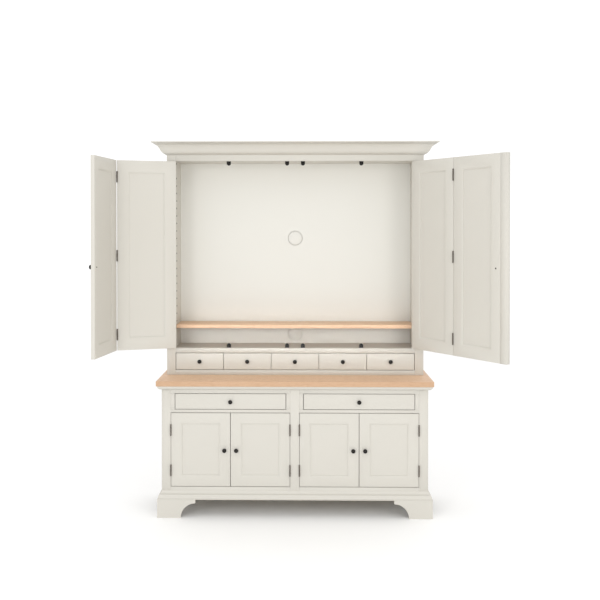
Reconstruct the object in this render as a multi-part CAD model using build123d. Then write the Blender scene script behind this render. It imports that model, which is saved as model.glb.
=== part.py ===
from build123d import *
import os

# A tall armoire in two parts: a deep base with cupboards and wide drawers, and a shallower upper
# cabinet with five small drawers under a television space closed by two pairs of folding leaves.
# Millimetres. Origin on the floor, at the centre of the width, in the plane of the wall behind.
# +Z is up, the front looks towards -Y. The leaves are modelled where they stand at rest: open.

# ---------------------------------------------------------------- driving dimensions
HEIGHT = 2200.0
CARCASS_HALF_W = 775.0
BASE_DEPTH = 442.0
UPPER_DEPTH = 245.0
BOARD_T = 18.0
FRAME_T = 22.0
BACK_T = 8.0
LEVELS = {"apron": 106.0, "worktop": 795.0, "tv_floor": 957.0, "ceiling": 2088.0, "cornice": 2124.0}

# face frames
BASE_STILE_W = 52.5
CENTRE_STILE_HALF_W = 26.5
OPENING_HALF_W = CARCASS_HALF_W - BASE_STILE_W
DOOR_OPENING_Z = (175.0, 608.5)
WIDE_DRAWER_OPENING_X = (49.5, 699.0)
WIDE_DRAWER_OPENING_Z = (626.0, 720.5)
SMALL_DRAWER_OPENING_Z = (824.0, 928.5)
FRONT_GAP = 3.0

# doors and leaves
DOOR_STILE_W = 65.0
LEAF_STILE_W = 72.0
LEAF_RAIL_W = 75.0
LEAF_W = 348.0
LEAF_Z = (LEVELS["tv_floor"] + 3.5, LEVELS["ceiling"] - 4.5)
HINGE_GAP = 2.0
MEETING_GAP = 2.5
STRIP_T = 27.0
PANEL_SINK = 7.0
PANEL_TONGUE = 8.0
BEVEL_W = 8.0
LEFT_HUNG_OPEN = 162.0
LEFT_FOLDING_OPEN = 97.5
RIGHT_OPEN = 124.5

# hinges, knobs and catches
HINGE_LENGTH = 65.0
KNUCKLE_R = 3.6
KNUCKLE_STAND_OFF = 4.0
PIN_R = 1.5
RUNNING_CLEARANCE = 0.05
PLATE_CLEARANCE = 0.15
PLATE_DEPTH = 18.0
PIN_HEAD_R = 3.2
PIN_HEAD_H = 1.2
LEAF_HINGE_Z = (1055.0, 1520.0, 1985.0)
DOOR_HINGE_Z = (271.0, 507.0)
KNOB_R = 12.5
KNOB_PROJECTION = 22.0
LEAF_KNOB_Z = 1467.0
LEAF_KNOB_INSET = 32.0
DOOR_KNOB_Z = 389.0
DOOR_KNOB_INSET = 33.0
CATCH_X = (48.0, 402.0)
CATCH_W = 25.0
CATCH_H = 25.5
CATCH_DEPTH = 16.0
CATCH_SETBACK = 24.0

# inside
LINING_FACE_X = 724.0
SHELF_Z = (1073.5, 1095.5)
SHELF_SETBACK = 31.0
SHELF_END_GAP = 1.5
HOLE_R = 3.5
HOLE_DEPTH = 10.0
HOLE_TOP_Z = 1986.0
HOLE_ROWS = 21
HOLE_SETBACKS = (57.0, 195.0)
PORT_Z = (1015.0, 1620.0)
PORT_COVER_R = 48.0
PORT_HOLE_R = 44.5
BASE_SHELF_Z = (385.0, 403.0)
SMALL_DRAWERS = 5

# edge profiles
WORKTOP_T = 30.0
WORKTOP_OVERHANG = 30.0
CORNICE_PROJECTION = 82.0
PLINTH_PROJECTION = 24.0
FOOT_ARC_R = 85.0
FRONT_TOE_W = 137.0
SIDE_TOE_W = 92.0

BASE_FRONT = -BASE_DEPTH
UPPER_FRONT = -UPPER_DEPTH
WORKTOP_BOTTOM = LEVELS["worktop"] - WORKTOP_T
SIDE_INNER_X = CARCASS_HALF_W - BOARD_T
NODES = {}


# ---------------------------------------------------------------- helpers
def board(x, y, z):
    """A board between the low and high limit on each axis."""
    size = [high - low for low, high in (x, y, z)]
    middle = [(low + high) / 2 for low, high in (x, y, z)]
    return Pos(*middle) * Box(*size)


def rod(radius, length, middle, axis="Z"):
    """A round bar about its middle, along the named axis."""
    turn = {"X": Rot(0, 90, 0), "Y": Rot(90, 0, 0), "Z": Rot(0, 0, 0)}[axis]
    return Pos(*middle) * turn * Cylinder(radius, length)


def mirrored(pieces):
    """The same pieces on the other side of the cabinet."""
    return [mirror(piece, about=Plane.YZ) for piece in pieces]


def both_sides(pieces):
    """The given pieces and their mirror images."""
    return list(pieces) + mirrored(pieces)


def turned(pieces, pivot, angle):
    """Pieces turned about a vertical axis through the pivot, in degrees."""
    return [Pos(*pivot, 0) * Rot(0, 0, angle) * Pos(-pivot[0], -pivot[1], 0) * p for p in pieces]


def prism(outline, z):
    """An upright prism over a plan outline."""
    face = make_face(Polyline(*outline, close=True))
    return Pos(0, 0, z[0]) * extrude(face, z[1] - z[0], dir=(0, 0, 1))


def mitred_runs(profile, depth, reach):
    """A moulding round the front and both sides. The profile is drawn with X as projection."""
    half, front = CARCASS_HALF_W, -depth
    front_plane = Plane(origin=(0, front, 0), x_dir=(0, -1, 0), z_dir=(-1, 0, 0))
    side_plane = Plane(origin=(half, 0, 0), x_dir=(1, 0, 0), z_dir=(0, -1, 0))
    corner = (half, front)
    far_corner = (half + reach, front - reach)
    z = (0, HEIGHT)
    front_cut = prism([corner, far_corner, (-far_corner[0], far_corner[1]), (-half, front)], z)
    side_cut = prism([corner, far_corner, (half + reach, 0), (half, 0)], z)
    front_run = extrude(front_plane * profile, half + reach, both=True) & front_cut
    side_run = extrude(side_plane * profile, depth + reach) & side_cut
    return [front_run] + both_sides([side_run])


def panelled_door(x, z, front, stile, rail):
    """Two stiles, two rails and a flat panel in their grooves, bevelled towards the panel."""
    back = front + FRAME_T
    sunk = (front + PANEL_SINK, back - PANEL_SINK)
    hole_x = (x[0] + stile, x[1] - stile)
    hole_z = (z[0] + rail, z[1] - rail)
    panel = board(
        (hole_x[0] - PANEL_TONGUE, hole_x[1] + PANEL_TONGUE),
        sunk,
        (hole_z[0] - PANEL_TONGUE, hole_z[1] + PANEL_TONGUE),
    )
    ring = board(x, (front, back), z) - board(hole_x, (front, back), hole_z) - panel
    middle = (sum(hole_x) / 2, sum(hole_z) / 2)
    size = (hole_x[1] - hole_x[0], hole_z[1] - hole_z[0])
    for face_y, deep_y in ((front, sunk[0]), (back, sunk[1])):
        wide = Plane((middle[0], face_y, middle[1]), x_dir=(1, 0, 0), z_dir=(0, -1, 0))
        deep = Plane((middle[0], deep_y, middle[1]), x_dir=(1, 0, 0), z_dir=(0, -1, 0))
        grown = Rectangle(size[0] + 2 * BEVEL_W, size[1] + 2 * BEVEL_W)
        ring -= loft([(wide * grown).face(), (deep * Rectangle(*size)).face()])
    through = (front, back)
    stiles = [ring & board((x[0], hole_x[0]), through, z), ring & board((hole_x[1], x[1]), through, z)]
    lower_rail = ring & board(hole_x, through, (z[0], hole_z[0]))
    upper_rail = ring & board(hole_x, through, (hole_z[1], z[1]))
    return stiles + [lower_rail, upper_rail, panel]


def butt_hinge(middle_z):
    """Fixed half with its pin, and moving half, about the Z axis. The door lies towards +X, +Y."""
    low = middle_z - HINGE_LENGTH / 2
    third = HINGE_LENGTH / 3
    stops = [low, low + third, low + 2 * third, low + HINGE_LENGTH]
    plate_y = (KNUCKLE_STAND_OFF, KNUCKLE_STAND_OFF + PLATE_DEPTH)
    bore = rod(PIN_R + RUNNING_CLEARANCE, HINGE_LENGTH, (0, 0, middle_z))
    halves = []
    for plate_x, spans in (
        ((-HINGE_GAP / 2, -PLATE_CLEARANCE), (0, 2)),
        ((PLATE_CLEARANCE, HINGE_GAP / 2), (1,)),
    ):
        half = board(plate_x, plate_y, (stops[0], stops[3]))
        for span in spans:
            z = (stops[span] + PLATE_CLEARANCE, stops[span + 1] - PLATE_CLEARANCE)
            half += rod(KNUCKLE_R, z[1] - z[0], (0, 0, sum(z) / 2))
            half += board(plate_x, (0, KNUCKLE_STAND_OFF), z)
        halves.append(half - bore)
    top = stops[3] - PLATE_CLEARANCE
    bottom = stops[0] + PLATE_CLEARANCE
    pin = rod(PIN_R, top - bottom, (0, 0, middle_z))
    pin += rod(PIN_HEAD_R, PIN_HEAD_H, (0, 0, top + PIN_HEAD_H / 2))
    pin += rod(PIN_HEAD_R, PIN_HEAD_H, (0, 0, bottom - PIN_HEAD_H / 2))
    return [halves[0], pin], [halves[1]]


def hinge_set(heights, pivot, knuckle_behind=False):
    """The fixed halves and the moving halves of hinges on one pivot line."""
    fixed, moving = [], []
    for height in heights:
        for found, kept in zip(butt_hinge(height), (fixed, moving)):
            placed = [mirror(piece, about=Plane.XZ) for piece in found] if knuckle_behind else found
            kept += [Pos(*pivot, 0) * piece for piece in placed]
    return fixed, moving


def knob(x, face_y, z, screw_face_y=None):
    """A round knob on a waisted stem, and the head of its screw on the far face."""
    neck_r, base_r, base_h = 5.5, 8.0, 2.0
    head_low = 8.0
    cap_r, cap_low = 8.5, 20.3
    cap_h = KNOB_PROJECTION - cap_low
    cap_sphere_r = (cap_r**2 + cap_h**2) / (2 * cap_h)
    cap_middle_y = KNOB_PROJECTION - cap_sphere_r + (cap_sphere_r**2 - (cap_r / 2) ** 2) ** 0.5
    outline = [
        Polyline((0, 0), (base_r, 0), (base_r, base_h)),
        ThreePointArc((base_r, base_h), (neck_r, (base_h + head_low) / 2), (base_r, head_low)),
        ThreePointArc((base_r, head_low), (KNOB_R, 14.0), (cap_r, cap_low)),
        ThreePointArc((cap_r, cap_low), (cap_r / 2, cap_middle_y), (0, KNOB_PROJECTION)),
        Polyline((0, KNOB_PROJECTION), (0, 0)),
    ]
    turned_knob = revolve(make_face(outline), Axis.Y)
    pieces = [Pos(x, face_y, z) * Rot(180, 0, 0) * turned_knob]
    if screw_face_y is not None:
        screw_r, screw_h = 4.5, 1.6
        pieces.append(rod(screw_r, screw_h, (x, screw_face_y + screw_h / 2, z), "Y"))
    return pieces


def drawer(front_x, front_z, front_y, box_x, box_z, back_y, wall):
    """A drawer: its front, two sides, a back and a bottom let in between them."""
    front_back = front_y + FRAME_T
    bottom_t = 6.0
    bottom_rise = 5.0
    side_y = (front_back, back_y)
    inner_x = (box_x[0] + wall, box_x[1] - wall)
    bottom_z = (box_z[0] + bottom_rise, box_z[0] + bottom_rise + bottom_t)
    return [
        board(front_x, (front_y, front_back), front_z),
        board((box_x[0], inner_x[0]), side_y, box_z),
        board((inner_x[1], box_x[1]), side_y, box_z),
        board(inner_x, (back_y - wall, back_y), box_z),
        board(inner_x, (front_back, back_y - wall), bottom_z),
    ]


# ---------------------------------------------------------------- base carcass
def base_carcass():
    inside_y = (BASE_FRONT + FRAME_T, -BACK_T)
    partition_half = BOARD_T / 2
    stretcher_z = (WORKTOP_BOTTOM - BOARD_T, WORKTOP_BOTTOM)
    stretcher_w = 80.0
    floor_z = (DOOR_OPENING_Z[0] - BOARD_T, DOOR_OPENING_Z[0])
    pin_setbacks = (50.0, 350.0)
    pin_z = BASE_SHELF_Z[0] - HOLE_R
    hole_pitch = 45.0

    side = board((SIDE_INNER_X, CARCASS_HALF_W), (inside_y[0], 0), (LEVELS["apron"], WORKTOP_BOTTOM))
    partition = board((-partition_half, partition_half), inside_y, (floor_z[1], stretcher_z[0]))
    partition_hole_depth = 8.0
    pins = []
    for setback in pin_setbacks:
        y = inside_y[0] + setback
        for row in range(-2, 3):
            z = pin_z + row * hole_pitch
            side -= rod(HOLE_R, 2 * HOLE_DEPTH, (SIDE_INNER_X, y, z), "X")
            for face in (-partition_half, partition_half):
                partition -= rod(HOLE_R, 2 * partition_hole_depth, (face, y, z), "X")
        pin_r = HOLE_R - RUNNING_CLEARANCE
        pins.append(rod(pin_r, 2 * partition_hole_depth, (SIDE_INNER_X, y, pin_z), "X"))
        pins.append(rod(pin_r, 2 * partition_hole_depth, (partition_half, y, pin_z), "X"))

    NODES["base_side_left"] = mirrored([side])
    NODES["base_side_right"] = [side]
    NODES["base_bottom"] = [board((-SIDE_INNER_X, SIDE_INNER_X), inside_y, floor_z)]
    NODES["base_partition"] = [partition]
    NODES["base_back"] = [
        board((-SIDE_INNER_X, SIDE_INNER_X), (-BACK_T, 0), (DOOR_OPENING_Z[0] - BOARD_T, WORKTOP_BOTTOM))
    ]
    NODES["base_stretchers"] = [
        board((-SIDE_INNER_X, SIDE_INNER_X), y, stretcher_z)
        for y in ((inside_y[0], inside_y[0] + stretcher_w), (-BACK_T - stretcher_w, -BACK_T))
    ]
    shelf_x = (partition_half + SHELF_END_GAP, SIDE_INNER_X - SHELF_END_GAP)
    shelf = board(shelf_x, (inside_y[0] + 20.0, -BACK_T - 4.0), BASE_SHELF_Z)
    NODES["base_shelves"] = both_sides([shelf])
    return both_sides(pins)


def base_face_frame():
    y = (BASE_FRONT, BASE_FRONT + FRAME_T)
    full_z = (LEVELS["apron"], WORKTOP_BOTTOM)
    between = (CENTRE_STILE_HALF_W, OPENING_HALF_W)
    drawer_x, drawer_z = WIDE_DRAWER_OPENING_X, WIDE_DRAWER_OPENING_Z
    half = [
        board((OPENING_HALF_W, CARCASS_HALF_W), y, full_z),
        board(between, y, (full_z[0], DOOR_OPENING_Z[0])),
        board(between, y, (DOOR_OPENING_Z[1], drawer_z[0])),
        board(between, y, (drawer_z[1], full_z[1])),
        board((between[0], drawer_x[0]), y, drawer_z),
        board((drawer_x[1], between[1]), y, drawer_z),
    ]
    centre = board((-CENTRE_STILE_HALF_W, CENTRE_STILE_HALF_W), y, full_z)
    NODES["base_face_frame"] = [centre] + both_sides(half)


def drawer_runners():
    """Each wide drawer rides on two runners, between two guides."""
    y = (BASE_FRONT + FRAME_T, -BACK_T)
    runner_z = (612.0, 633.6)
    guide_top = 664.0
    pieces = []
    for runner_x, guide_x in (((55.0, 90.0), (55.0, 65.4)), ((658.5, 693.5), (683.1, 693.5))):
        pieces.append(board(runner_x, y, runner_z))
        pieces.append(board(guide_x, y, (runner_z[1], guide_top)))
    NODES["wide_drawer_runners"] = both_sides(pieces)


def foot_face(toe_w):
    """The outline of a bracket foot: a flat toe, then a quarter circle up to a small step."""
    apron, foot_w = LEVELS["apron"], toe_w + FOOT_ARC_R
    bend = FOOT_ARC_R * (1 - 0.5**0.5)
    outline = [
        Polyline((0, 0), (toe_w, 0)),
        ThreePointArc((toe_w, 0), (toe_w + bend, FOOT_ARC_R - bend), (foot_w, FOOT_ARC_R)),
        Polyline((foot_w, FOOT_ARC_R), (foot_w, apron), (0, apron), (0, 0)),
    ]
    return make_face(outline)


def plinth():
    apron = LEVELS["apron"]
    corner_x = CARCASS_HALF_W + PLINTH_PROJECTION
    corner_y = BASE_FRONT - PLINTH_PROJECTION
    depth = PLINTH_PROJECTION

    front_plane = Plane((corner_x, corner_y, 0), x_dir=(-1, 0, 0), z_dir=(0, 1, 0))
    side_plane = Plane((corner_x, corner_y, 0), x_dir=(0, 1, 0), z_dir=(1, 0, 0))
    rear_plane = Plane((corner_x, 0, 0), x_dir=(0, -1, 0), z_dir=(-1, 0, 0))
    corner, inner = (corner_x, corner_y), (CARCASS_HALF_W, BASE_FRONT)
    z = (0, apron)
    front_cut = prism([corner, inner, (0, BASE_FRONT), (0, corner_y)], z)
    side_cut = prism([corner, inner, (CARCASS_HALF_W, 0), (corner_x, 0)], z)
    block_w = 60.0
    rail_t = 22.0
    block_x = (CARCASS_HALF_W - block_w, CARCASS_HALF_W)
    feet = [
        extrude(front_plane * foot_face(FRONT_TOE_W), depth, dir=(0, 1, 0)) & front_cut,
        extrude(side_plane * foot_face(SIDE_TOE_W), depth, dir=(-1, 0, 0)) & side_cut,
        extrude(rear_plane * foot_face(SIDE_TOE_W), depth, dir=(-1, 0, 0)),
        board(block_x, (BASE_FRONT, BASE_FRONT + block_w), z),
        board(block_x, (-rail_t - block_w, -rail_t), z),
    ]
    NODES["bracket_feet"] = both_sides(feet)
    NODES["rear_plinth_rail"] = [
        board((-SIDE_INNER_X, SIDE_INNER_X), (-rail_t, 0), (0, DOOR_OPENING_Z[0] - BOARD_T))
    ]

    lip_top, quirk_x, rise, top = apron + 4.0, 19.0, 121.0, 155.0
    waist = (9.5, 136.0)
    profile = make_face(
        [
            Polyline((0, apron), (PLINTH_PROJECTION, apron), (PLINTH_PROJECTION, lip_top)),
            Polyline((PLINTH_PROJECTION, lip_top), (quirk_x, lip_top), (quirk_x, rise)),
            ThreePointArc((quirk_x, rise), (16.5, 130.0), waist),
            ThreePointArc(waist, (3.0, 143.5), (1.0, top)),
            Polyline((1.0, top), (0, top), (0, apron)),
        ]
    )
    NODES["plinth_moulding"] = mitred_runs(profile, BASE_DEPTH, PLINTH_PROJECTION)


def worktop():
    moulding_h, moulding_w = 22.0, 24.0
    low = WORKTOP_BOTTOM - moulding_h
    profile = make_face(
        [
            Polyline((0, WORKTOP_BOTTOM), (0, low), (1.0, low)),
            ThreePointArc((1.0, low), (17.3, low + 6.7), (moulding_w, WORKTOP_BOTTOM)),
            Polyline((moulding_w, WORKTOP_BOTTOM), (0, WORKTOP_BOTTOM)),
        ]
    )
    NODES["worktop_moulding"] = mitred_runs(profile, BASE_DEPTH, WORKTOP_OVERHANG)
    half = CARCASS_HALF_W + WORKTOP_OVERHANG
    slab = board((-half, half), (BASE_FRONT - WORKTOP_OVERHANG, 0), (WORKTOP_BOTTOM, LEVELS["worktop"]))
    arris = 1.5
    NODES["worktop"] = [chamfer(slab.faces().sort_by(Axis.Y)[0].edges(), arris)]


# ---------------------------------------------------------------- upper cabinet
def upper_carcass():
    inside_y = (UPPER_FRONT + FRAME_T, -BACK_T)
    side_z = (LEVELS["worktop"], HEIGHT - BOARD_T)
    lining_x = (LINING_FACE_X, LINING_FACE_X + BOARD_T)
    outer = board((SIDE_INNER_X, CARCASS_HALF_W), (inside_y[0], 0), side_z)
    lining = board(lining_x, (inside_y[0], 0), side_z)
    shelf_pin_z = SHELF_Z[0] - HOLE_R
    pitch = (HOLE_TOP_Z - shelf_pin_z) / (HOLE_ROWS - 1)
    fixing_z = 2076.0
    pins = []
    for setback in HOLE_SETBACKS:
        y = UPPER_FRONT + setback
        for z in [HOLE_TOP_Z - row * pitch for row in range(HOLE_ROWS)] + [fixing_z]:
            lining -= rod(HOLE_R, 2 * HOLE_DEPTH, (LINING_FACE_X, y, z), "X")
        pins.append(
            rod(HOLE_R - RUNNING_CLEARANCE, 2 * HOLE_DEPTH - 1.0, (LINING_FACE_X, y, shelf_pin_z), "X")
        )
    NODES["upper_side_left"] = mirrored([outer, lining])
    NODES["upper_side_right"] = [outer, lining]

    across = (-LINING_FACE_X, LINING_FACE_X)
    NODES["upper_decks"] = [
        board(across, inside_y, (top - BOARD_T, top))
        for top in (SMALL_DRAWER_OPENING_Z[0], LEVELS["tv_floor"])
    ]
    NODES["ceiling_board"] = [board(across, inside_y, (LEVELS["ceiling"], LEVELS["ceiling"] + BOARD_T))]
    NODES["top_board"] = [
        board((-CARCASS_HALF_W, CARCASS_HALF_W), (UPPER_FRONT, 0), (HEIGHT - BOARD_T, HEIGHT))
    ]

    back = board(across, (-BACK_T, 0), (LEVELS["worktop"], HEIGHT - BOARD_T))
    covers = []
    lip_t, plug_r = 1.5, PORT_HOLE_R - 0.5
    for z in PORT_Z:
        back -= rod(PORT_HOLE_R, 2 * BACK_T + 2, (0, -BACK_T / 2, z), "Y")
        cover = rod(PORT_COVER_R, lip_t, (0, -BACK_T - lip_t / 2, z), "Y")
        covers.append(cover + rod(plug_r, BACK_T - 1, (0, -(BACK_T + 1) / 2, z), "Y"))
    NODES["upper_back"] = [back]
    NODES["cable_covers"] = covers

    shelf_x = (-LINING_FACE_X + SHELF_END_GAP, LINING_FACE_X - SHELF_END_GAP)
    NODES["oak_shelf"] = [board(shelf_x, (UPPER_FRONT + SHELF_SETBACK, -BACK_T - 3.0), SHELF_Z)]
    return both_sides(pins)


def upper_face_frame():
    y = (UPPER_FRONT, UPPER_FRONT + FRAME_T)
    top = HEIGHT - BOARD_T
    across = (-OPENING_HALF_W, OPENING_HALF_W)
    stile = board((OPENING_HALF_W, CARCASS_HALF_W), y, (LEVELS["worktop"], top))
    rails = [
        board(across, y, (LEVELS["worktop"], SMALL_DRAWER_OPENING_Z[0])),
        board(across, y, (SMALL_DRAWER_OPENING_Z[1], LEVELS["tv_floor"])),
        board(across, y, (LEVELS["ceiling"], top)),
    ]
    NODES["upper_face_frame"] = rails + both_sides([stile])


def cornice():
    low = LEVELS["cornice"]
    turn, tip = (35.0, low + 29.0), (79.0, HEIGHT - 6.0)
    profile = make_face(
        [
            Polyline((0, HEIGHT), (0, low)),
            ThreePointArc((0, low), (22.0, low + 12.0), turn),
            ThreePointArc(turn, (50.0, low + 51.5), tip),
            Polyline(tip, (CORNICE_PROJECTION, HEIGHT - 6.0), (CORNICE_PROJECTION, HEIGHT), (0, HEIGHT)),
        ]
    )
    NODES["cornice"] = mitred_runs(profile, UPPER_DEPTH, CORNICE_PROJECTION)


def catches():
    """Magnetic catches with a rounded end, hung from the ceiling and stood on the floor."""
    y_middle = UPPER_FRONT + CATCH_SETBACK + CATCH_DEPTH / 2
    y = (y_middle - CATCH_DEPTH / 2, y_middle + CATCH_DEPTH / 2)
    radius = CATCH_W / 2
    pieces = []
    for x in CATCH_X:
        for root, away in ((LEVELS["ceiling"], -1), (LEVELS["tv_floor"], 1)):
            centre_z = root + away * (CATCH_H - radius)
            body = board((x - radius, x + radius), y, sorted((root, centre_z)))
            pieces.append(body + rod(radius, CATCH_DEPTH, (x, y_middle, centre_z), "Y"))
    NODES["magnetic_catches"] = both_sides(pieces)


# ---------------------------------------------------------------- drawers
def wide_drawers():
    x = (WIDE_DRAWER_OPENING_X[0] + FRONT_GAP, WIDE_DRAWER_OPENING_X[1] - FRONT_GAP)
    z = (WIDE_DRAWER_OPENING_Z[0] + FRONT_GAP, WIDE_DRAWER_OPENING_Z[1] - FRONT_GAP)
    box_x, box_z = (66.0, 682.5), (634.0, 702.0)
    pieces = drawer(x, z, BASE_FRONT, box_x, box_z, -48.0, 12.0)
    pull = knob(sum(x) / 2, BASE_FRONT, 672.0)
    for side, build in (("right", list), ("left", mirrored)):
        NODES[f"wide_drawer_{side}"] = build(pieces)
        NODES[f"wide_drawer_{side}_knob"] = build(pull)


def small_drawers():
    opening = 2 * OPENING_HALF_W
    front_w = (opening - (SMALL_DRAWERS + 1) * FRONT_GAP) / SMALL_DRAWERS
    pitch = front_w + FRONT_GAP
    z = (SMALL_DRAWER_OPENING_Z[0] + FRONT_GAP, SMALL_DRAWER_OPENING_Z[1] - FRONT_GAP)
    box_z = (SMALL_DRAWER_OPENING_Z[0] + 0.6, 905.0)
    divider_half, side_play = 6.0, 1.5
    box_half = pitch / 2 - divider_half - side_play
    for number in range(SMALL_DRAWERS):
        middle = (number - (SMALL_DRAWERS - 1) / 2) * pitch
        front_x = (middle - front_w / 2, middle + front_w / 2)
        box_x = (middle - box_half, middle + box_half)
        name = f"small_drawer_{number + 1}"
        NODES[name] = drawer(front_x, z, UPPER_FRONT, box_x, box_z, -30.0, 10.0)
        NODES[f"{name}_knob"] = knob(middle, UPPER_FRONT, sum(SMALL_DRAWER_OPENING_Z) / 2)
    divider_z = (SMALL_DRAWER_OPENING_Z[0], LEVELS["tv_floor"] - BOARD_T)
    divider_y = (UPPER_FRONT + FRAME_T, -BACK_T)
    NODES["small_drawer_dividers"] = [
        board((middle - divider_half, middle + divider_half), divider_y, divider_z)
        for middle in [(gap - SMALL_DRAWERS / 2) * pitch for gap in range(1, SMALL_DRAWERS)]
    ]


# ---------------------------------------------------------------- doors and leaves
def base_doors():
    """Four doors, each pair meeting in the middle of its opening."""
    middle = (CENTRE_STILE_HALF_W + OPENING_HALF_W) / 2
    z = (DOOR_OPENING_Z[0] + FRONT_GAP, DOOR_OPENING_Z[1] - FRONT_GAP)
    pivot_y = BASE_FRONT - KNUCKLE_STAND_OFF
    half_gap = HINGE_GAP / 2
    meeting = FRONT_GAP / 2

    # Worked on the left half of the cabinet, then mirrored.
    outer_x = (-OPENING_HALF_W + HINGE_GAP, -middle - meeting)
    inner_x = (-middle + meeting, -CENTRE_STILE_HALF_W - HINGE_GAP)
    fixed_outer, moving_outer = hinge_set(DOOR_HINGE_Z, (-OPENING_HALF_W + half_gap, pivot_y))
    fixed_inner, moving_inner = hinge_set(DOOR_HINGE_Z, (CENTRE_STILE_HALF_W + half_gap, pivot_y))
    fixed = fixed_outer + mirrored(fixed_inner)
    door_back = BASE_FRONT + FRAME_T
    parts = {
        "outer": (outer_x, moving_outer, outer_x[1] - DOOR_KNOB_INSET),
        "inner": (inner_x, mirrored(moving_inner), inner_x[0] + DOOR_KNOB_INSET),
    }
    for place, (x, moving, knob_x) in parts.items():
        door = panelled_door(x, z, BASE_FRONT, DOOR_STILE_W, DOOR_STILE_W)
        hardware = moving + knob(knob_x, BASE_FRONT, DOOR_KNOB_Z, door_back)
        for side, build in (("left", list), ("right", mirrored)):
            NODES[f"{side}_{place}_door"] = build(door)
            NODES[f"{side}_{place}_door_hardware"] = build(hardware)
    return both_sides(fixed)


def leaf_pair(side, hung_open, folding_open, strip_w):
    """A pair of leaves: one hung on the stile, one folding from it. Worked closed, on the left."""
    inner_face = UPPER_FRONT + FRAME_T
    hung_x = (-OPENING_HALF_W + HINGE_GAP, -OPENING_HALF_W + HINGE_GAP + LEAF_W)
    folding_x = (hung_x[1] + HINGE_GAP, hung_x[1] + HINGE_GAP + LEAF_W)
    stile_pivot = (hung_x[0] - HINGE_GAP / 2, UPPER_FRONT - KNUCKLE_STAND_OFF)
    fold_pivot = (hung_x[1] + HINGE_GAP / 2, inner_face + KNUCKLE_STAND_OFF)

    fixed, on_hung = hinge_set(LEAF_HINGE_Z, stile_pivot)
    on_hung_fold, on_folding = hinge_set(LEAF_HINGE_Z, fold_pivot, knuckle_behind=True)
    knob_x = folding_x[1] - LEAF_KNOB_INSET
    groups = {
        f"{side}_hung_leaf": panelled_door(hung_x, LEAF_Z, UPPER_FRONT, LEAF_STILE_W, LEAF_RAIL_W),
        f"{side}_hung_leaf_hinges": on_hung + on_hung_fold,
        f"{side}_folding_leaf": panelled_door(folding_x, LEAF_Z, UPPER_FRONT, LEAF_STILE_W, LEAF_RAIL_W),
        f"{side}_folding_leaf_hardware": on_folding + knob(knob_x, UPPER_FRONT, LEAF_KNOB_Z, inner_face),
    }
    if strip_w:
        strip_x = (folding_x[1], folding_x[1] + strip_w)
        groups["meeting_strip"] = [board(strip_x, (inner_face - STRIP_T, inner_face), LEAF_Z)]

    for name, pieces in groups.items():
        if "hung" not in name:
            pieces = turned(pieces, fold_pivot, hung_open - folding_open)
        pieces = turned(pieces, stile_pivot, -hung_open)
        NODES[name] = pieces if side == "left" else mirrored(pieces)
    return fixed if side == "left" else mirrored(fixed)


# ---------------------------------------------------------------- the whole armoire
shelf_pins = base_carcass() + upper_carcass()
base_face_frame()
drawer_runners()
plinth()
worktop()
upper_face_frame()
cornice()
catches()
wide_drawers()
small_drawers()
STRIP_W = 2 * OPENING_HALF_W - 4 * LEAF_W - 4 * HINGE_GAP - MEETING_GAP
fixed_hinges = base_doors()
fixed_hinges += leaf_pair("left", LEFT_HUNG_OPEN, LEFT_FOLDING_OPEN, 0.0)
fixed_hinges += leaf_pair("right", RIGHT_OPEN, RIGHT_OPEN, STRIP_W)
NODES["shelf_pins"] = shelf_pins
NODES["fixed_hinge_halves"] = fixed_hinges

os.makedirs("parts", exist_ok=True)
for node_name, node_pieces in NODES.items():
    solids = [solid for piece in node_pieces for solid in piece.solids()]
    export_step(Compound(children=solids), f"parts/{node_name}.step")
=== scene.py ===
"""The armoire's finished look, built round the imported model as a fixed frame.

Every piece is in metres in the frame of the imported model: origin on the floor at the middle of the
width, in the plane of the wall, +Z up, the front looking towards -Y.
"""

import logging
import math
from dataclasses import dataclass
from enum import Enum
from typing import Callable, Iterable, Sequence

import bmesh
import bpy
from mathutils import Matrix, Vector


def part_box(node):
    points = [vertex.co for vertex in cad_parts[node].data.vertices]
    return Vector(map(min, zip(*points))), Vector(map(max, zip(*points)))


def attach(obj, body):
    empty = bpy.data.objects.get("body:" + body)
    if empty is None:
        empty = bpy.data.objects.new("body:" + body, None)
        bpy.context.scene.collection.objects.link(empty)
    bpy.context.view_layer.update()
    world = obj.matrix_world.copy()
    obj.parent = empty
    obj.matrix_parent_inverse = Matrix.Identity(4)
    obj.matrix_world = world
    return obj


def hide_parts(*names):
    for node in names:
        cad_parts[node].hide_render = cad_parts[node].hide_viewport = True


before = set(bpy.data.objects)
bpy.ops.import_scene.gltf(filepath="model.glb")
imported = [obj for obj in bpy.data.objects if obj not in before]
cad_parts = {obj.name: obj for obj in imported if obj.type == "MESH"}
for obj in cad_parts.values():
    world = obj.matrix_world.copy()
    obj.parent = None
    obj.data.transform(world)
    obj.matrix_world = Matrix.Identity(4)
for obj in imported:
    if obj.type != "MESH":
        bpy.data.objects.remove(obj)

LOG = logging.getLogger("armoire")
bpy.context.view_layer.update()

Point = tuple[float, float, float]
Span = tuple[float, float]
Rgb = tuple[float, float, float]

HALF_WIDTH = 0.775
OPENING = 0.7225
CENTRE = 0.0265
BASE_FRONT = -0.442
UPPER_FRONT = -0.245
APRON = 0.106
TV_FLOOR = 0.957
CEILING = 2.088
FRAME_T = 0.022
FRONT_GAP = 0.003
HINGE_GAP = 0.002
PIVOT_STAND_OFF = 0.004
PIN_FACE = 0.724
PIN_ROWS = (-0.188, -0.050)
ARRIS = 0.0009
FINE_ARRIS = 0.0003
SHARP_ANGLE = math.radians(50)


class Side(Enum):
    """Which half of the cabinet a piece is on, seen from the front."""

    LEFT = "left"
    RIGHT = "right"


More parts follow.
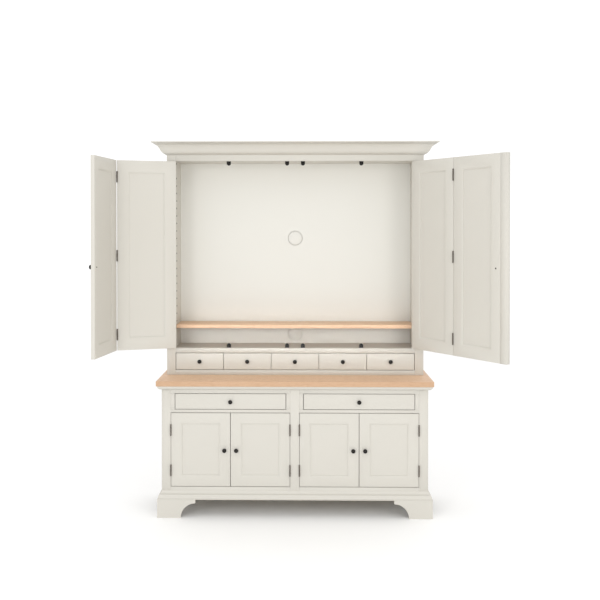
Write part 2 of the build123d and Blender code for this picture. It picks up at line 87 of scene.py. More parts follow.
class Slot(Enum):
    """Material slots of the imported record."""

    PAINT = "painted_wood"
    PANEL = "painted_panel"
    OAK = "oak"
    BARE = "bare_wood"
    METAL = "dark_metal"
    STEEL = "pin_steel"


# ------------------------------------------------------------------------------ finishes
class Graph:
    """A short way to add and join shader nodes."""

    def __init__(self, tree: bpy.types.NodeTree) -> None:
        """Work on one node tree.

        Args:
            tree: The tree that the nodes go in.
        """
        self.tree = tree
        self.tree.nodes.clear()

    def add(self, kind: str, inputs: dict | None = None, **settings) -> bpy.types.Node:
        """Add a node, set its properties, and set or link its inputs.

        Args:
            kind: The node's type.
            inputs: Input name or index to a value, or to the output socket to link.
            **settings: Properties of the node itself.

        Returns:
            The new node.
        """
        node = self.tree.nodes.new(kind)
        for name, value in settings.items():
            setattr(node, name, value)
        return self.fill(node, inputs or {})

    def fill(self, node: bpy.types.Node, inputs: dict) -> bpy.types.Node:
        """Set or link a node's inputs, and give the node."""
        for name, value in inputs.items():
            if isinstance(value, bpy.types.NodeSocket):
                self.tree.links.new(value, node.inputs[name])
            else:
                node.inputs[name].default_value = value
        return node

    def add_group(self, name: str, build: Callable[[], bpy.types.NodeTree], values: dict) -> bpy.types.Node:
        """Place a shared effect, building it the first time.

        Args:
            name: The group's name.
            build: Makes the group.
            values: Its inputs.

        Returns:
            The group's node.
        """
        node = self.tree.nodes.new("ShaderNodeGroup")
        node.node_tree = bpy.data.node_groups.get(name) or build()
        return self.fill(node, values)

    def math(self, operation: str, first, second=0.0) -> bpy.types.NodeSocket:
        """One step of arithmetic on two numbers or sockets, and its result socket."""
        return self.add("ShaderNodeMath", {0: first, 1: second}, operation=operation).outputs[0]

    def times(self, first, second) -> bpy.types.NodeSocket:
        """The product of two numbers or sockets."""
        return self.math("MULTIPLY", first, second)

    def mix(self, amount, first, second) -> bpy.types.NodeSocket:
        """Mix two colours by an amount, and give the result socket."""
        return self.add("ShaderNodeMix", {0: amount, 6: first, 7: second}, data_type="RGBA").outputs[2]

    def noise(self, place, scale: float, detail: float, **more: float) -> bpy.types.NodeSocket:
        """Noise at a place in metres, and its value socket."""
        inputs = {"Vector": place, "Scale": scale, "Detail": detail, **more}
        return self.add("ShaderNodeTexNoise", inputs).outputs[0]

    def stretched(self, place, scale: Point) -> bpy.types.NodeSocket:
        """A place scaled by a different factor along each axis."""
        return self.add("ShaderNodeMapping", {"Vector": place, "Scale": scale}).outputs[0]

    def ramp(self, value, stops: Sequence[tuple[float, tuple]]) -> bpy.types.NodeSocket:
        """Turn a value into a colour through a ramp of (place, colour) stops."""
        node = self.add("ShaderNodeValToRGB", {0: value})
        elements = node.color_ramp.elements
        while len(elements) < len(stops):
            elements.new(0.5)
        for element, (place, colour) in zip(elements, stops):
            element.position = place
            element.color = colour
        return node.outputs[0]


def effect_tree(name: str, inputs: dict[str, object]) -> Graph:
    """Make an empty shader group that gives Colour, Roughness and Height.

    Args:
        name: The group's name.
        inputs: Each input's name and default: a colour or a number.

    Returns:
        The graph to fill in.
    """
    colour, number = "NodeSocketColor", "NodeSocketFloat"
    tree = bpy.data.node_groups.new(name, "ShaderNodeTree")
    for label, default in inputs.items():
        kind = number if isinstance(default, float) else colour
        tree.interface.new_socket(label, in_out="INPUT", socket_type=kind).default_value = default
    for label, kind in (("Colour", colour), ("Roughness", number), ("Height", number)):
        tree.interface.new_socket(label, in_out="OUTPUT", socket_type=kind)
    return Graph(tree)


def hand_finish_group() -> bpy.types.NodeTree:
    """A coat laid by brush or spray: slight cloudiness, fine orange peel, strokes and rubbed arrises.

    Returns:
        A group that gives Colour, Roughness and Height.
    """
    defaults = {
        "Colour": (0.7, 0.7, 0.7, 1),
        "Cloud Colour": (0.68, 0.68, 0.66, 1),
        "Rubbed Colour": (0.6, 0.55, 0.5, 1),
        "Arris": 0.0,
        "Rub": 0.3,
        "Roughness": 0.45,
        "Stroke": 0.4,
    }
    graph = effect_tree("hand_finish", defaults)
    given = graph.add("NodeGroupInput").outputs
    place = graph.add("ShaderNodeTexCoord").outputs["Object"]
    cloud = graph.noise(place, 2.3, 3.0, Roughness=0.55)
    peel = graph.noise(place, 900.0, 2.0)
    stroke = graph.noise(graph.stretched(place, (420.0, 420.0, 9.0)), 1.0, 3.0)
    fleck = graph.noise(place, 46.0, 5.0, Roughness=0.7)
    coat = graph.mix(graph.times(cloud, 0.6), given["Colour"], given["Cloud Colour"])
    worn = graph.times(graph.times(given["Arris"], given["Rub"]), fleck)
    colour = graph.mix(worn, coat, given["Rubbed Colour"])
    swing = graph.times(graph.math("SUBTRACT", fleck, 0.5), 0.12)
    roughness = graph.math("ADD", given["Roughness"], swing)
    height = graph.math("ADD", graph.times(peel, 0.35), graph.times(stroke, given["Stroke"]))
    graph.add("NodeGroupOutput", {"Colour": colour, "Roughness": roughness, "Height": height})
    return graph.tree


def timber_group() -> bpy.types.NodeTree:
    """Sawn and jointed timber with its grain along X: staves, growth figure, pores and small knots.

    Returns:
        A group that gives Colour, Roughness and Height.
    """
    defaults = {
        "Light": (0.8, 0.6, 0.4, 1),
        "Dark": (0.6, 0.4, 0.2, 1),
        "Pore": (0.4, 0.25, 0.12, 1),
        "Stave": 0.09,
        "Roughness": 0.5,
    }
    graph = effect_tree("timber", defaults)
    given = graph.add("NodeGroupInput").outputs
    place = graph.add("ShaderNodeTexCoord").outputs["Object"]
    axes = graph.add("ShaderNodeSeparateXYZ", {"Vector": place}).outputs
    across = graph.math("DIVIDE", axes["Y"], given["Stave"])
    row = graph.math("FLOOR", across)
    tone = graph.add("ShaderNodeTexWhiteNoise", {"W": row}, noise_dimensions="1D").outputs["Value"]
    moved = {"X": graph.math("ADD", axes["X"], graph.times(tone, 7.0)), "Y": axes["Y"], "Z": axes["Z"]}
    shifted = graph.add("ShaderNodeCombineXYZ", moved).outputs[0]
    figure = graph.noise(graph.stretched(shifted, (1.1, 17.0, 17.0)), 2.4, 4.0, Distortion=0.9)
    rings = graph.math("FRACT", graph.times(figure, 7.0))
    pores = graph.noise(graph.stretched(shifted, (9.0, 260.0, 260.0)), 3.0, 2.0)
    pore_mask = graph.ramp(pores, [(0.0, (1, 1, 1, 1)), (0.36, (1, 1, 1, 1)), (0.44, (0, 0, 0, 1))])
    joint_mask = graph.math("LESS_THAN", graph.math("FRACT", across), 0.008)
    toned = graph.math("ADD", graph.times(rings, 0.55), graph.times(tone, 0.30))
    body = graph.mix(toned, given["Light"], given["Dark"])
    pored = graph.mix(graph.times(pore_mask, 0.35), body, given["Pore"])
    colour = graph.mix(graph.times(joint_mask, 0.45), pored, given["Pore"])
    dip = graph.math("ADD", graph.times(pore_mask, 0.6), graph.times(joint_mask, 0.8))
    height = graph.math("SUBTRACT", graph.times(rings, 0.15), dip)
    rough = graph.math("ADD", given["Roughness"], graph.times(pore_mask, 0.15))
    graph.add("NodeGroupOutput", {"Colour": colour, "Roughness": rough, "Height": height})
    return graph.tree


@dataclass(frozen=True)
class Finish:
    """A finish that can be put on pieces. Each kind fills in its own material."""

    name: str
    slot: Slot

    def material(self) -> bpy.types.Material:
        """The finish's material, built the first time it is asked for."""
        found = bpy.data.materials.get(self.name)
        if found is None:
            found = bpy.data.materials.new(self.name)
            found.use_nodes = True
            self.fill(Graph(found.node_tree))
        return found

    def fill(self, graph: Graph) -> None:
        """Build the nodes. Each finish has its own."""
        raise NotImplementedError

    def surface(self, graph: Graph, group: bpy.types.Node, bump: float, bump_size: float, **settings) -> None:
        """End a material in one Principled shader that takes a group's colour, roughness and height.

        Args:
            graph: The material's graph.
            group: The effect group's node.
            bump: How strong the relief is.
            bump_size: The relief's height, in metres.
            **settings: Constants set on the shader's own sockets, spaces written as underscores.
        """
        rise = {"Strength": bump, "Distance": bump_size, "Height": group.outputs["Height"]}
        relief = graph.add("ShaderNodeBump", rise)
        inputs = {name.replace("_", " "): value for name, value in settings.items()}
        inputs |= {
            "Base Color": group.outputs["Colour"],
            "Roughness": group.outputs["Roughness"],
            "Normal": relief.outputs[0],
        }
        shader = graph.add("ShaderNodeBsdfPrincipled", inputs)
        graph.add("ShaderNodeOutputMaterial", {"Surface": shader.outputs[0]})


@dataclass(frozen=True)
class Coat(Finish):
    """Paint, lacquer or dark plating laid over a piece."""

    colour: Rgb
    cloud: Rgb
    rubbed: Rgb
    rub: float = 0.3
    roughness: float = 0.45
    stroke: float = 0.4
    metallic: float = 0.0
    bump: float = 0.12
    sheen: float = 0.5

    def fill(self, graph: Graph) -> None:
        """Put the hand finish group under a Principled shader."""
        arris = graph.add("ShaderNodeAttribute", attribute_name="arris")
        values = {
            "Colour": (*self.colour, 1),
            "Cloud Colour": (*self.cloud, 1),
            "Rubbed Colour": (*self.rubbed, 1),
            "Arris": arris.outputs["Fac"],
            "Rub": self.rub,
            "Roughness": self.roughness,
            "Stroke": self.stroke,
        }
        group = graph.add_group("hand_finish", hand_finish_group, values)
        self.surface(graph, group, self.bump, 0.0004, Metallic=self.metallic, Specular_IOR_Level=self.sheen)


@dataclass(frozen=True)
class Timber(Finish):
    """Bare or oiled wood with its grain along the cabinet's width."""

    light: Rgb
    dark: Rgb
    pore: Rgb
    stave: float
    roughness: float = 0.5

    def fill(self, graph: Graph) -> None:
        """Put the timber group under a Principled shader."""
        values = {
            "Light": (*self.light, 1),
            "Dark": (*self.dark, 1),
            "Pore": (*self.pore, 1),
            "Stave": self.stave,
            "Roughness": self.roughness,
        }
        group = graph.add_group("timber", timber_group, values)
        self.surface(graph, group, 0.25, 0.0003)


PAINT = Coat(
    "eggshell_paint",
    Slot.PAINT,
    (0.600, 0.580, 0.528),
    (0.590, 0.566, 0.508),
    (0.66, 0.645, 0.605),
    roughness=0.46,
)
BACK_PAINT = Coat(
    "back_panel_paint",
    Slot.PANEL,
    (0.73, 0.722, 0.675),
    (0.72, 0.705, 0.655),
    (0.76, 0.75, 0.71),
    roughness=0.52,
)
BLACK_METAL = Coat(
    "blackened_metal",
    Slot.METAL,
    (0.012, 0.011, 0.010),
    (0.018, 0.016, 0.014),
    (0.09, 0.075, 0.06),
    rub=0.5,
    roughness=0.24,
    stroke=0.1,
    bump=0.12,
    sheen=0.2,
)
BROWN_STEEL = Coat(
    "browned_steel",
    Slot.METAL,
    (0.16, 0.14, 0.12),
    (0.12, 0.10, 0.085),
    (0.35, 0.31, 0.27),
    rub=0.6,
    roughness=0.36,
    stroke=0.1,
    metallic=0.9,
    bump=0.2,
)
BRIGHT_STEEL = Coat(
    "zinc_steel",
    Slot.STEEL,
    (0.46, 0.45, 0.43),
    (0.38, 0.37, 0.36),
    (0.6, 0.6, 0.58),
    roughness=0.33,
    stroke=0.1,
    metallic=1.0,
)
OAK = Timber(
    "oiled_oak",
    Slot.OAK,
    (0.76, 0.525, 0.355),
    (0.67, 0.435, 0.27),
    (0.36, 0.20, 0.10),
    stave=0.118,
)
PALE_PINE = Timber(
    "pale_pine",
    Slot.BARE,
    (0.66, 0.50, 0.32),
    (0.52, 0.35, 0.19),
    (0.36, 0.22, 0.11),
    stave=0.31,
    roughness=0.6,
)


# ------------------------------------------------------------------------------ making
class Shape:
    """Solid mesh work in one bmesh, in metres, which ends as one piece."""

    def __init__(self) -> None:
        """Start with nothing."""
        self.mesh = bmesh.new()
        self.arris = self.mesh.faces.layers.float.new("arris")

    def board(self, x: Span, y: Span, z: Span, arris: float = ARRIS, segments: int = 2) -> "Shape":
        """Add a board with softened arrises.

        Args:
            x: Lowest and highest X.
            y: Lowest and highest Y.
            z: Lowest and highest Z.
            arris: How much of each edge is rounded off, or 0.
            segments: How many facets the rounding has.

        Returns:
            This shape.
        """
        made = bmesh.ops.create_cube(self.mesh, size=1.0)["verts"]
        size = Vector((x[1] - x[0], y[1] - y[0], z[1] - z[0]))
        middle = Vector((x[0] + x[1], y[0] + y[1], z[0] + z[1])) / 2
        for vert in made:
            vert.co = Vector(a * b for a, b in zip(vert.co, size)) + middle
        if arris:
            edges = dict.fromkeys(edge for vert in made for edge in vert.link_edges)
            width = min(arris, min(size) * 0.3)
            self.ease(edges, width, segments)
        return self

    def ease(self, edges: Iterable[bmesh.types.BMEdge], width: float, segments: int = 2) -> None:
        """Round edges over and mark the new faces as arrises."""
        made = bmesh.ops.bevel(
            self.mesh,
            geom=list(edges),
            offset=width,
            segments=segments,
            profile=0.5,
            affect="EDGES",
            clamp_overlap=True,
        )
        for face in made["faces"]:
            face[self.arris] = 1.0

    def lathe(self, profile: Sequence[Span], centre: Point, steps: int = 32, axis: str = "Y") -> "Shape":
        """Turn a profile about an axis through a point.

        Args:
            profile: (distance along the axis, radius) of each step, ending on the axis at both ends.
            centre: The point that distance 0 is at.
            steps: How many facets go round.
            axis: Y for a piece that faces the front with distance towards -Y, Z for an upright one, X for one
                that lies across.

        Returns:
            This shape.
        """
        sections = []
        for along, radius in profile:
            ring = []
            for i in range(1 if radius < 1e-6 else steps):
                turn = 2 * math.pi * i / steps
                a, b = radius * math.cos(turn), radius * math.sin(turn)
                offset = Vector({"X": (along, a, b), "Y": (a, -along, b), "Z": (a, b, along)}[axis])
                ring.append(Vector(centre) + offset)
            sections.append(ring)
        return self.run(sections)

    def run(self, sections: Sequence[Sequence[Point]], joined: bool = False) -> "Shape":
        """Skin matching closed sections one after another.

        Args:
            sections: Each section's points in order: all of one length, or one point for a tip.
            joined: Whether the last is joined to the first. Otherwise both ends are closed off.

        Returns:
            This shape.
        """
        rings = [[self.mesh.verts.new(point) for point in section] for section in sections]
        faces = []
        for low, high in zip(rings, rings[1:] + rings[:1] if joined else rings[1:]):
            for i in range(max(len(low), len(high))):
                j = i + 1
                quad = (low[i % len(low)], low[j % len(low)], high[j % len(high)], high[i % len(high)])
                faces.append(self.mesh.faces.new(tuple(dict.fromkeys(quad))))
        if not joined:
            faces += [self.mesh.faces.new(ring) for ring in (rings[0], rings[-1]) if len(ring) > 1]
        bmesh.ops.recalc_face_normals(self.mesh, faces=faces)
        for face in faces if joined else ():
            if min(edge.calc_length() for edge in face.edges) < ARRIS:
                face[self.arris] = 1.0
        return self

    def prism(self, outline: Sequence[Span], way: Callable[..., Point], depth: Span) -> "Shape":
        """Push a flat outline through a depth.

        Args:
            outline: The outline's points in its own plane.
            way: Turns (a, b, depth) into a point.
            depth: Where the outline starts and ends.

        Returns:
            This shape.
        """
        return self.run([[way(a, b, d) for a, b in outline] for d in depth])

    def turned(self, turn: float, pivot: Span) -> "Shape":
        """Turn all of it about an upright line."""
        about = Vector((*pivot, 0))
        bmesh.ops.rotate(self.mesh, verts=self.mesh.verts, cent=about, matrix=Matrix.Rotation(turn, 3, "Z"))
        return self

    def mirrored(self, wanted: bool = True) -> "Shape":
        """The mirror image of all of it across the middle of the cabinet, where that is wanted."""
        if wanted:
            bmesh.ops.scale(self.mesh, vec=(-1, 1, 1), verts=self.mesh.verts)
            bmesh.ops.reverse_faces(self.mesh, faces=self.mesh.faces)
        return self

    def object(self, name: str) -> bpy.types.Object:
        """The shape as an object with smooth faces and sharp corners.

        Args:
            name: The object's name.

        Returns:
            The object, at the origin.
        """
        data = bpy.data.meshes.new(name)
        self.mesh.to_mesh(data)
        self.mesh.free()
        data.polygons.foreach_set("use_smooth", [True] * len(data.polygons))
        data.set_sharp_from_angle(angle=SHARP_ANGLE)
        return in_scene(name, data)


def in_scene(name: str, data: bpy.types.ID) -> bpy.types.Object:
    """A new object in the scene, at the origin, that holds some data."""
    made = bpy.data.objects.new(name, data)
    bpy.context.scene.collection.objects.link(made)
    return made


def ordered(first: float, second: float) -> Span:
    """Two numbers, the lower one first."""
    return (min(first, second), max(first, second))


def arc(start: Span, through: Span, end: Span, steps: int = 10) -> list[Span]:
    """Points along the circle through three points.

    Args:
        start: The first point.
        through: A point on the way.
        end: The last point.
        steps: How many chords.

    Returns:
        The points, both ends among them.
    """
    (ax, ay), (bx, by), (cx, cy) = start, through, end
    double = 2 * (ax * (by - cy) + bx * (cy - ay) + cx * (ay - by))
    a2, b2, c2 = ax * ax + ay * ay, bx * bx + by * by, cx * cx + cy * cy
    mx = (a2 * (by - cy) + b2 * (cy - ay) + c2 * (ay - by)) / double
    my = (a2 * (cx - bx) + b2 * (ax - cx) + c2 * (bx - ax)) / double
    radius = math.hypot(ax - mx, ay - my)
    first, last = math.atan2(ay - my, ax - mx), math.atan2(cy - my, cx - mx)
    middle = math.atan2(by - my, bx - mx)
    sweep = (last - first) % (2 * math.pi)
    if (middle - first) % (2 * math.pi) > sweep:
        sweep -= 2 * math.pi
    turns = [first + sweep * i / steps for i in range(steps + 1)]
    return [(mx + radius * math.cos(t), my + radius * math.sin(t)) for t in turns]


def softened(outline: Sequence[Span], cut: float = 0.0006) -> list[Span]:
    """A closed outline with its sharp corners cut back a little.

    Args:
        outline: The outline's points in order.
        cut: How far each cut starts from its corner.

    Returns:
        The new outline.
    """
    result = []
    count = len(outline)
    for i, corner in enumerate(outline):
        here = Vector(corner)
        before, after = Vector(outline[i - 1]) - here, Vector(outline[(i + 1) % count]) - here
        nearly_straight = before.angle(after) > math.radians(150)
        if nearly_straight or min(before.length, after.length) < 3 * cut:
            result.append(tuple(here))
            continue
        result += [tuple(here + before.normalized() * cut), tuple(here + after.normalized() * cut)]
    return result


def repeat_tree() -> bpy.types.NodeTree:
    """The tree that sets copies of a piece out along a line.

    Returns:
        A Geometry Nodes tree with Count, Offset and Finish.
    """
    tree = bpy.data.node_groups.new("repeat_along_line", "GeometryNodeTree")
    kinds = {"Geometry": "Geometry", "Count": "Int", "Offset": "Vector", "Finish": "Material"}
    for label, kind in kinds.items():
        tree.interface.new_socket(label, in_out="INPUT", socket_type=f"NodeSocket{kind}")
    tree.interface.new_socket("Geometry", in_out="OUTPUT", socket_type="NodeSocketGeometry")
    graph = Graph(tree)
    given = graph.add("NodeGroupInput").outputs
    spacing = {label: given[label] for label in ("Count", "Offset")}
    line = graph.add("GeometryNodeMeshLine", spacing, mode="OFFSET").outputs[0]
    places = {"Points": line, "Instance": given["Geometry"]}
    copies = graph.add("GeometryNodeInstanceOnPoints", places).outputs[0]
    real = graph.add("GeometryNodeRealizeInstances", {"Geometry": copies}).outputs[0]
    finished = graph.add("GeometryNodeSetMaterial", {"Geometry": real, "Material": given["Finish"]})
    graph.add("NodeGroupOutput", {0: finished.outputs[0]})
    return tree


def repeated(piece: bpy.types.Object, count: int, offset: Point, finish: Finish) -> bpy.types.Object:
    """Set copies of a piece out along a line, as one plain mesh.

    Args:
        piece: The first copy, in place.
        count: How many there are.
        offset: From each copy to the next.
        finish: The finish they get.

    Returns:
        The same object with all the copies in its mesh.
    """
    tree = bpy.data.node_groups.get("repeat_along_line") or repeat_tree()
    modifier = piece.modifiers.new("set_out", "NODES")
    modifier.node_group = tree
    values = {"Count": count, "Offset": offset, "Finish": finish.material()}
    for item in tree.interface.items_tree:
        if item.in_out == "INPUT" and item.name in values:
            modifier[item.identifier] = values[item.name]
    graph = bpy.context.evaluated_depsgraph_get()
    made = bpy.data.meshes.new_from_object(piece.evaluated_get(graph))
    piece.modifiers.remove(modifier)
    piece.data = made
    return piece


# ------------------------------------------------------------------------------ sub-assemblies
@dataclass
class SubAssembly:
    """A part of the cabinet that is built and dressed together."""

    body: str = "root"

    def dress(self, made: bpy.types.Object, finish: Finish, *nodes: str, body: str = "") -> bpy.types.Object:
        """Finish a piece, hang it on its body, and let it stand for its nodes.

        Args:
            made: The piece.
            finish: What it is finished in.
            *nodes: The nodes that it stands for.
            body: The body, where it isn't this sub-assembly's own.

        Returns:
            The piece.
        """
        if not made.data.materials:
            made.data.materials.append(None)
        made.data.materials[0] = finish.material()
        if nodes:
            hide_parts(*nodes)
        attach(made, body or self.body)
        LOG.info("%s: %s on %s, %d faces", made.name, finish.name, body or self.body, len(made.data.polygons))
        return made

    def dress_hinges(self, half: Shape, label: str, count: int, pitch: float, node: str, body: str) -> None:
        """Set one half of a hinge out at each height, and dress it as a single piece.

        Args:
            half: The lowest half, in place.
            label: The piece's name.
            count: How many heights there are.
            pitch: From each height to the next.
            node: The node that the piece stands for.
            body: The body that it rides on.
        """
        piece = repeated(half.object(label), count, (0, 0, pitch), BROWN_STEEL)
        self.dress(piece, BROWN_STEEL, node, body=body)

    def dress_leaf(self, door: Shape, knob: Shape | None, name: str) -> None:
        """Dress a door and its knob, which ride on the body of their own name."""
        self.dress(door.object(f"{name}_joinery"), PAINT, name, body=name)
        if knob:
            self.dress(knob.object(f"{name}_knob"), BLACK_METAL, f"{name}_hardware", body=name)

    def build(self) -> None:
        """Make the pieces."""
        raise NotImplementedError


@dataclass
class HiddenCarcass(SubAssembly):
    """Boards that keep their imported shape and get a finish: sides, backs, decks, shelves and runners."""

    base: tuple[str, ...] = ("side_left", "side_right", "bottom", "partition", "back", "shelves")
    upper: tuple[str, ...] = ("side_left", "side_right", "decks")
    loose: tuple[str, ...] = ("ceiling_board", "top_board", "small_drawer_dividers")
    bare: tuple[str, ...] = ("base_stretchers", "wide_drawer_runners", "rear_plinth_rail")

    def build(self) -> None:
        """Give each board its finish."""
        painted = [f"base_{name}" for name in self.base] + [f"upper_{name}" for name in self.upper]
        painted += self.loose
        for names, finish in ((painted, PAINT), (self.bare, PALE_PINE), (("upper_back",), BACK_PAINT)):
            for name in names:
                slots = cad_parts[name].data.materials
                if not slots:
                    slots.append(None)
                for i in range(len(slots)):
                    slots[i] = finish.material()
                LOG.info("%s: %s", name, finish.name)


@dataclass
class FaceFrames(SubAssembly):
    """The frames of stiles and rails on the front of the base and of the upper cabinet."""

    worktop_underside: float = 0.765
    worktop: float = 0.795
    top: float = 2.182
    drawer_z: Span = (0.626, 0.7205)

    def build(self) -> None:
        """Make both frames."""
        self.dress(self.base().object("base_frame_joinery"), PAINT, "base_face_frame")
        self.dress(self.upper().object("upper_frame_joinery"), PAINT, "upper_face_frame")

    def base(self) -> Shape:
        """The base's frame, with one opening for each pair of doors and one for each wide drawer."""
        y = (BASE_FRONT, BASE_FRONT + FRAME_T)
        full, across = (APRON, self.worktop_underside), (CENTRE, OPENING)
        shape = Shape().board((-CENTRE, CENTRE), y, full)
        for sign in (-1, 1):
            for (near, far), z in (
                ((OPENING, HALF_WIDTH), full),
                (across, (APRON, 0.175)),
                (across, (0.6085, self.drawer_z[0])),
                (across, (self.drawer_z[1], self.worktop_underside)),
                ((CENTRE, 0.0495), self.drawer_z),
                ((0.699, OPENING), self.drawer_z),
            ):
                shape.board(ordered(sign * near, sign * far), y, z, FINE_ARRIS, 1)
        return shape

    def upper(self) -> Shape:
        """The upper cabinet's frame: two stiles, and rails round the small drawers and at the top."""
        y = (UPPER_FRONT, UPPER_FRONT + FRAME_T)
        shape = Shape()
        for sign in (-1, 1):
            shape.board(ordered(sign * OPENING, sign * HALF_WIDTH), y, (self.worktop, self.top))
        for z in ((self.worktop, 0.824), (0.9285, TV_FLOOR), (CEILING, self.top)):
            shape.board((-OPENING, OPENING), y, z, FINE_ARRIS, 1)
        return shape


@dataclass(kw_only=True)
class Moulding(SubAssembly):
    """A moulding that runs round the front and both sides, mitred at the corners."""

    node: str
    profile: list[Span]
    depth: float = -BASE_FRONT

    def build(self) -> None:
        """Sweep the profile round the cabinet."""
        points = softened(self.profile)
        corners = ((-1, 0.0, 0.0), (-1, self.depth, 1.0), (1, self.depth, 1.0), (1, 0.0, 0.0))
        sections = [
            [(side * (HALF_WIDTH + p), -(deep + p * out), z) for p, z in points]
            for side, deep, out in corners
        ]
        self.dress(Shape().run(sections).object(f"{self.node}_run"), PAINT, self.node)


@dataclass
class Plinth(SubAssembly):
    """Bracket feet at the four corners, with blocks glued behind them."""

    corner_x: float = 0.799
    corner_y: float = -0.466
    thick: float = 0.024
    arc_radius: float = 0.085
    front_toe: float = 0.137
    side_toe: float = 0.092
    block: float = 0.060
    rail: float = 0.022

    def outline(self, toe: float) -> list[Span]:
        """A bracket's outline: a flat toe, a quarter circle, and a short step up.

        Args:
            toe: How wide it stands on the floor.

        Returns:
            The outline's points, as distance from the corner and height.
        """
        radius = self.arc_radius
        bend = radius * (1 - math.sqrt(0.5))
        curve = arc((toe, 0), (toe + bend, radius - bend), (toe + radius, radius), 20)
        return [(0, 0), *curve, (toe + radius, APRON), (0, APRON)]

    def build(self) -> None:
        """Make both sides' feet."""
        feet = Shape()
        x, y, thick = self.corner_x, self.corner_y, (0, self.thick)
        front, flank = self.outline(self.front_toe), self.outline(self.side_toe)
        inner, behind = x - self.thick, y + self.thick
        for sign in (-1, 1):
            feet.prism(front, lambda a, b, d: (sign * (x - max(a, d)), y + d, b), thick)
            feet.prism(flank, lambda a, b, d: (sign * (x - d), y + max(a, d), b), thick)
            feet.prism(flank, lambda a, b, d: (sign * (x - d), -a, b), thick)
            across = ordered(sign * (inner - self.block), sign * inner)
            for block_y in ((behind, behind + self.block), (-self.rail - self.block, -self.rail)):
                feet.board(across, block_y, (0, APRON))
        self.dress(feet.object("bracket_feet_joinery"), PAINT, "bracket_feet")


@dataclass
class OakBoards(SubAssembly):
    """The oak worktop and the oak shelf, with a small rounding on every arris."""

    worktop_arris: float = 0.0022
    shelf_arris: float = 0.0018

    def build(self) -> None:
        """Make both boards to their boxes."""
        for node, arris_width in (("worktop", self.worktop_arris), ("oak_shelf", self.shelf_arris)):
            low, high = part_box(node)
            shape = Shape().board(*zip(low, high), arris=arris_width, segments=3)
            self.dress(shape.object(f"{node}_board"), OAK, node)


@dataclass
class Knob:
    """A round knob on a waisted stem, with its screw's head behind where that shows."""

    x: float
    face: float
    z: float
    screw_face: float | None = None
    radius: float = 0.0125
    projection: float = 0.022

    def shape(self) -> Shape:
        """The turned knob."""
        cove = arc((0.002, 0.0079), (0.005, 0.0055), (0.008, 0.008), 8)
        bulge = arc((0.008, 0.008), (0.014, self.radius), (0.0203, 0.0085), 14)
        dome = arc((0.0203, 0.0085), (0.02163, 0.0042), (self.projection, 0.0), 5)
        profile = [(0, 0), (0, 0.0078), (0.0003, 0.008), (0.0017, 0.008), *cove, *bulge[1:], *dome[1:]]
        shape = Shape().lathe(profile, (self.x, self.face, self.z))
        if self.screw_face is not None:
            head = [(0, 0), (0, 0.0045), (-0.0008, 0.0043), (-0.0014, 0.003), (-0.0016, 0.0)]
            shape.lathe(head, (self.x, self.screw_face, self.z), 20)
        return shape


@dataclass
class ButtHinge:
    """One height of hinge: knuckles about a pin, and two plates that lie in the gap beside the door."""

    pivot: Span
    z: float
    behind: bool = False
    length: float = 0.065
    knuckle: float = 0.0036
    head: Span = (0.0012, 0.0032)
    clearance: float = 0.00015
    plate_depth: float = 0.018

    def barrel(self, shape: Shape, low: float, high: float, radius: float) -> None:
        """A turned barrel with eased ends between two heights."""
        ease, tall = FINE_ARRIS, high - low
        profile = [(0, 0), (0, radius - ease), (ease, radius)]
        profile += [(tall - ease, radius), (tall, radius - ease), (tall, 0)]
        shape.lathe(profile, (*self.pivot, low), 20, "Z")

    def half(self, moving: bool) -> Shape:
        """One half of the hinge, with the pin's heads on the fixed one.

        Args:
            moving: Whether it is the half that turns with the door.

        Returns:
            The shape.
        """
        shape = Shape()
        low, third, gap = self.z - self.length / 2, self.length / 3, self.clearance
        toward = -1 if self.behind else 1
        x, y = self.pivot
        root = y + toward * PIVOT_STAND_OFF
        tip = y + toward * (PIVOT_STAND_OFF + self.plate_depth)
        plate_x = (x + gap, x + HINGE_GAP / 2) if moving else (x - HINGE_GAP / 2, x - gap)
        shape.board(plate_x, ordered(root, tip), (low, low + self.length), 0)
        for span in (1,) if moving else (0, 2):
            z = (low + span * third + gap, low + (span + 1) * third - gap)
            self.barrel(shape, *z, self.knuckle)
            shape.board(plate_x, ordered(y, root), z, 0)
        if not moving:
            height, radius = self.head
            top, foot = low + self.length - gap, low + gap
            self.barrel(shape, top, top + height, radius)
            self.barrel(shape, foot - height, foot, radius)
        return shape


@dataclass
class PanelDoor:
    """Stiles and rails round a flat panel, bevelled towards the panel on both faces."""

    x: Span
    z: Span
    front: float
    stile: float
    rail: float
    bevel: float = 0.008
    sink: float = 0.007
    quirk: float = 0.0024
    lip: float = 0.0006
    tongue: float = 0.002
    arris: float = 0.0010

    def shape(self) -> Shape:
        """The joined frame and its panel."""
        ease, deep, lip = self.arris, self.sink - self.quirk, self.lip
        outer = [(0, ease), (0.3 * ease, 0.3 * ease), (ease, 0)]
        shoulder = [(-self.bevel - lip, 0.0), (-self.bevel + lip, deep * lip / self.bevel), (0.0, deep)]
        back = self.front + FRAME_T
        near = [(u, u, self.front + d) for u, d in outer]
        near += [(self.stile + s, self.rail + s, self.front + d) for s, d in shoulder]
        far = [(u, v, self.front + back - y) for u, v, y in reversed(near)]
        (left, right), (low, high) = self.x, self.z
        corners = ((left, 1, low, 1), (right, -1, low, 1), (right, -1, high, -1), (left, 1, high, -1))
        sections = [[(x + sx * u, y, z + sz * v) for u, v, y in near + far] for x, sx, z, sz in corners]
        in_x, in_z = self.stile - self.tongue, self.rail - self.tongue
        panel_y = (self.front + self.sink, back - self.sink)
        panel = (left + in_x, right - in_x), panel_y, (low + in_z, high - in_z)
        return Shape().run(sections, joined=True).board(*panel, 0)


